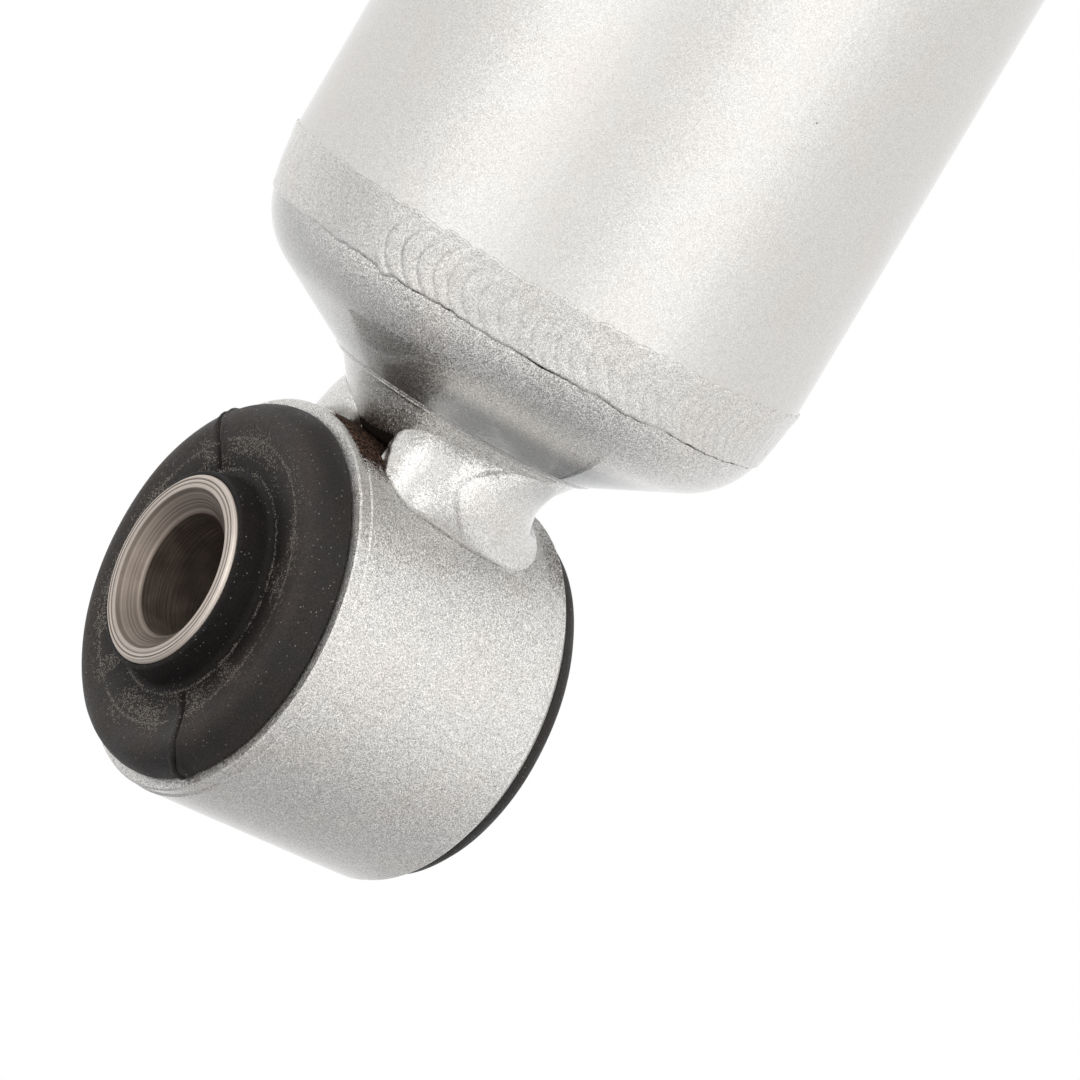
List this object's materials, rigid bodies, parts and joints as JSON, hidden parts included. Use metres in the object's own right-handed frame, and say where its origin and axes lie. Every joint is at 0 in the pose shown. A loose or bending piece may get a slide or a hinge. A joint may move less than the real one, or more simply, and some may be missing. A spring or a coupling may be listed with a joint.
{
  "type": "gas shock absorber",
  "caption": "Single-tube gas shock absorber with a welded, rubber-bushed eye at each end, silver painted tube, chromed rod, ported piston and floating piston.",
  "frame": {"origin": "centre of the lower eye's bore", "axes": "+Z along the rod towards the upper eye, Y along the bores of both eyes"},
  "size_m": [0.0509, 0.0508, 0.5586],
  "materials": {
    "silver_paint": "silver metallic paint under clear lacquer",
    "bush_rubber": "matt moulded natural rubber, dusty",
    "sleeve_steel": "turned steel",
    "rod_chrome": "ground hard chrome",
    "bare_steel": "oiled steel",
    "shim_steel": "blued spring steel",
    "sintered_iron": "sintered iron",
    "alloy": "turned aluminium",
    "bearing_bronze": "bronze plain bearing",
    "slide_band_plastic": "filled fluoropolymer",
    "seal_rubber": "nitrile rubber"
  },
  "bodies": {
    "cylinder": {"cylinder_tube": "silver_paint", "base_cup": "silver_paint", "base_weld_bead": "silver_paint", "lower_eye_ring": "silver_paint", "lower_eye_weld": "silver_paint", "lower_bush_rubber": "bush_rubber", "guide_snap_ring": "bare_steel", "rod_guide": "alloy", "guide_bush": "bearing_bronze", "guide_seal_ring": "seal_rubber", "rod_seal": "seal_rubber", "end_washer": "bare_steel", "rod_wiper": "seal_rubber"},
    "lower_sleeve": {"lower_bush_sleeve": "sleeve_steel"},
    "floating_piston": {"floating_piston": "alloy", "floating_piston_seal": "seal_rubber"},
    "piston_band": {"piston_band": "slide_band_plastic"},
    "rod": {"piston_rod": "rod_chrome", "piston": "sintered_iron", "compression_shims": "shim_steel", "rebound_shims": "shim_steel", "compression_backing_washer": "bare_steel", "rebound_backing_washer": "bare_steel", "piston_nut": "bare_steel", "rebound_stop": "bare_steel", "rebound_bumper": "seal_rubber", "upper_eye_ring": "silver_paint", "upper_eye_weld": "silver_paint", "upper_bush_rubber": "bush_rubber"},
    "upper_sleeve": {"upper_bush_sleeve": "sleeve_steel"}
  },
  "joints": [
    {"name": "rod_stroke", "type": "slide", "parent": "cylinder", "child": "piston_band", "axis": [0, 0, 1], "range_m": [-0.15, 0], "stiffness_N_per_m": 970, "springref_m": 0.318},
    {"name": "rod_swivel", "type": "hinge", "parent": "piston_band", "child": "rod", "pos_m": [0, 0, 0.2645], "axis": [0, 0, 1], "continuous": true},
    {"name": "floating_piston_slide", "type": "slide", "parent": "cylinder", "child": "floating_piston", "axis": [0, 0, 1], "range_m": [-0.0139, 0]},
    {"name": "lower_bush_twist", "type": "hinge", "parent": "cylinder", "child": "lower_sleeve", "pos_m": [0, 0, 0], "axis": [0, 1, 0], "range_deg": [-20, 20], "stiffness_Nm_per_rad": 20},
    {"name": "upper_bush_twist", "type": "hinge", "parent": "rod", "child": "upper_sleeve", "pos_m": [0, 0, 0.5222], "axis": [0, 1, 0], "range_deg": [-20, 20], "stiffness_Nm_per_rad": 20}
  ],
  "couplings": [
    {"joint": "floating_piston_slide", "follows": "rod_stroke", "ratio": 0.092628}
  ]
}
